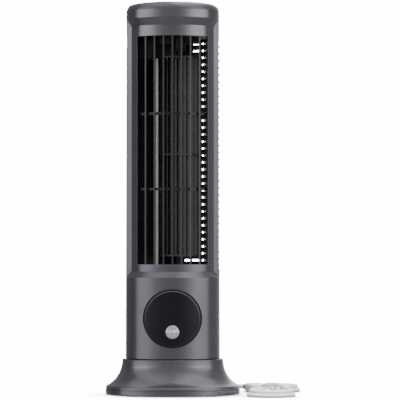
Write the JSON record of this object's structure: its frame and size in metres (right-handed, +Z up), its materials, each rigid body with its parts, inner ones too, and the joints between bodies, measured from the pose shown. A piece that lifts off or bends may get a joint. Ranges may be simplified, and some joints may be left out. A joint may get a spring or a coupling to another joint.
{
  "type": "desk fan",
  "caption": "USB desk tower fan with a cross-flow impeller behind an upright grille, a push button, a flared round base and a folded cable.",
  "frame": {"origin": "on the table, under the middle of the base", "axes": "+Z up the tower, -Y out of the front grille, +X to the right seen from the front"},
  "size_m": [0.1648, 0.1769, 0.3263],
  "materials": {
    "board": "green solder mask",
    "bush": "sintered",
    "button": "polished, fine machining marks",
    "button_inner": "black moulded",
    "cable": "white, satin",
    "component": "black epoxy",
    "duct": "black moulded, matte",
    "foot": "black, matte",
    "grille": "dark grey moulded",
    "guide": "dark grey moulded, satin",
    "gunmetal": "gunmetal metallic paint, satin",
    "hub": "black",
    "impeller": "dark grey moulded",
    "panel": "black, high gloss",
    "plug": "white, satin",
    "plug_metal": "nickel plated, warm",
    "screw": "blackened",
    "socket": "nickel plated",
    "steel": "bright",
    "tie": "white",
    "wire": "insulated"
  },
  "bodies": {
    "tower": {"base_shell": "gunmetal", "base_tray": "gunmetal", "lower_housing": "gunmetal", "front_cover": "gunmetal", "rear_cover": "gunmetal", "top_cap": "gunmetal", "rear_grille": "gunmetal", "front_grille": "grille", "scroll_wall": "duct", "tongue_wall": "duct", "air_guide": "guide", "motor_deck": "duct", "bearing_bracket": "duct", "control_disc": "panel", "tact_switch": "component", "control_board": "board", "board_components": "component", "board_screws": "steel", "usb_board": "board", "usb_socket": "socket", "motor_leads": "wire", "power_leads": "wire", "motor_can": "steel", "motor_end_cap": "component", "motor_screws": "steel", "bearing_bush": "bush", "tray_screws": "screw", "housing_screws": "screw", "cap_screws": "screw", "rubber_feet": "foot", "cord_lead": "cable", "cord_hank": "cable", "cable_tie": "tie", "micro_plug_shell": "plug_metal", "micro_plug_body": "plug", "micro_strain_relief": "plug", "usb_strain_relief": "plug", "usb_plug_body": "plug", "usb_plug_shell": "plug_metal"},
    "rotor": {"impeller": "impeller", "impeller_hub": "hub", "motor_shaft": "steel", "upper_pin": "screw"},
    "button": {"button_cap": "button", "button_stem": "button_inner", "switch_plunger": "button_inner"}
  },
  "joints": [
    {"name": "impeller_spin", "type": "hinge", "parent": "tower", "child": "rotor", "pos_m": [0.0055, 0.002, 0.2], "axis": [0, 0, 1], "continuous": true},
    {"name": "button_press", "type": "slide", "parent": "tower", "child": "button", "axis": [0, 1, 0], "range_m": [0, 0.001], "stiffness_N_per_m": 1200, "springref_m": -0.0004}
  ]
}
